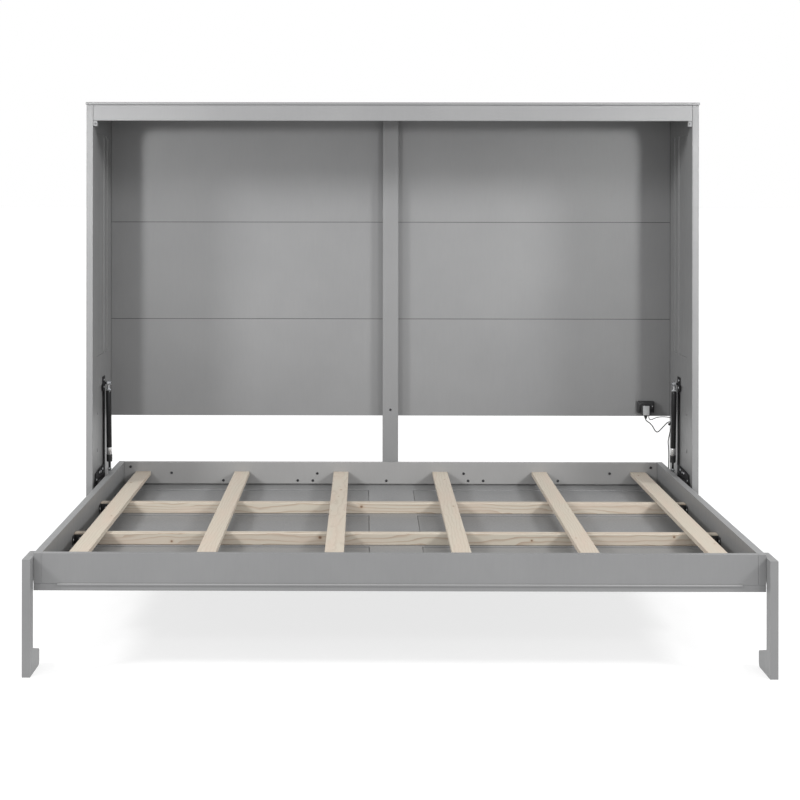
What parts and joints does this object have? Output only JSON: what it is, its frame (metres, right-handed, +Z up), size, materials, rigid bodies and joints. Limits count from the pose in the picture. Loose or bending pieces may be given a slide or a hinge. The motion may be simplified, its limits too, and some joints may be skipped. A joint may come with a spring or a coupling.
{
  "type": "murphy wall bed",
  "caption": "Horizontal wall bed folded down from its shallow cabinet, with slats on beams, gas struts and folding J-shaped legs.",
  "frame": {"origin": "on the floor, in the middle of the footprint of the cabinet and the open bed", "axes": "+X to the right seen from in front of the bed, +Y towards the wall, +Z up"},
  "size_m": [2.217, 1.705, 1.7],
  "materials": {
    "painted_board": "mid-grey satin paint over board",
    "pine": "planed, unfinished pine",
    "black_steel": "black satin coating on steel",
    "zinc_steel": "bright zinc plate",
    "black_plastic": "fine matt moulding",
    "cord_plastic": "satin flexible jacket"
  },
  "bodies": {
    "cabinet": {"left_side_panel": "painted_board", "right_side_panel": "painted_board", "top_board": "painted_board", "top_fascia": "painted_board", "left_fascia_block": "zinc_steel", "right_fascia_block": "zinc_steel", "left_upper_back_board": "painted_board", "right_upper_back_board": "painted_board", "left_middle_back_board": "painted_board", "right_middle_back_board": "painted_board", "left_lower_back_board": "painted_board", "right_lower_back_board": "painted_board", "centre_post": "painted_board", "top_back_rail": "painted_board", "rear_base_board": "painted_board", "left_mechanism_plate": "black_steel", "left_pivot_pin": "zinc_steel", "left_strut_bracket": "zinc_steel", "right_mechanism_plate": "black_steel", "right_pivot_pin": "zinc_steel", "right_strut_bracket": "zinc_steel", "outlet_box": "black_plastic", "adaptor": "black_plastic", "cord_hook": "black_plastic", "power_cord": "cord_plastic", "cord_coil": "cord_plastic", "cord_plug": "black_plastic", "outlet_lead": "cord_plastic"},
    "bed": {"left_side_rail": "painted_board", "right_side_rail": "painted_board", "front_rail": "painted_board", "rear_rail": "painted_board", "front_beam": "pine", "rear_beam": "pine", "slat_1": "pine", "slat_2": "pine", "slat_3": "pine", "slat_4": "pine", "slat_5": "pine", "slat_6": "pine", "facade_frame": "painted_board", "facade_panel_front_left": "painted_board", "facade_panel_front_right": "painted_board", "facade_panel_middle_left": "painted_board", "facade_panel_middle_right": "painted_board", "facade_panel_rear_left": "painted_board", "facade_panel_rear_right": "painted_board", "left_bed_hinge_plate": "black_steel", "left_leg_bolt": "zinc_steel", "right_bed_hinge_plate": "black_steel", "right_leg_bolt": "zinc_steel"},
    "left_leg": {"left_leg": "painted_board"},
    "left_strut": {"left_strut_cylinder": "black_steel"},
    "left_rod": {"left_strut_rod": "black_steel"},
    "right_leg": {"right_leg": "painted_board"},
    "right_strut": {"right_strut_cylinder": "black_steel"},
    "right_rod": {"right_strut_rod": "black_steel"}
  },
  "joints": [
    {"name": "bed_fold", "type": "hinge", "parent": "cabinet", "child": "bed", "pos_m": [0, 0.504, 0.3145], "axis": [-1, 0, 0], "range_deg": [0, 90]},
    {"name": "left_leg_fold", "type": "hinge", "parent": "bed", "child": "left_leg", "pos_m": [-1.0544, -0.7815, 0.308], "axis": [1, 0, 0], "range_deg": [0, 90]},
    {"name": "left_strut_tilt", "type": "hinge", "parent": "cabinet", "child": "left_strut", "pos_m": [-1.061, 0.6535, 0.659], "axis": [-1, 0, 0], "range_deg": [0, 20.7]},
    {"name": "left_strut_extend", "type": "slide", "parent": "left_strut", "child": "left_rod", "axis": [0, 0.0891, -0.996], "range_m": [0, 0.2025]},
    {"name": "right_leg_fold", "type": "hinge", "parent": "bed", "child": "right_leg", "pos_m": [1.0544, -0.7815, 0.308], "axis": [1, 0, 0], "range_deg": [0, 90]},
    {"name": "right_strut_tilt", "type": "hinge", "parent": "cabinet", "child": "right_strut", "pos_m": [1.061, 0.6535, 0.659], "axis": [-1, 0, 0], "range_deg": [0, 20.7]},
    {"name": "right_strut_extend", "type": "slide", "parent": "right_strut", "child": "right_rod", "axis": [0, 0.0891, -0.996], "range_m": [0, 0.2025]}
  ],
  "couplings": [
    {"joint": "left_leg_fold", "follows": "bed_fold", "ratio": 1},
    {"joint": "left_strut_tilt", "follows": "bed_fold", "ratio": 0.22962},
    {"joint": "left_strut_extend", "follows": "bed_fold", "m_per_rad": 0.12865},
    {"joint": "right_leg_fold", "follows": "bed_fold", "ratio": 1},
    {"joint": "right_strut_tilt", "follows": "bed_fold", "ratio": 0.22962},
    {"joint": "right_strut_extend", "follows": "bed_fold", "m_per_rad": 0.12865}
  ]
}
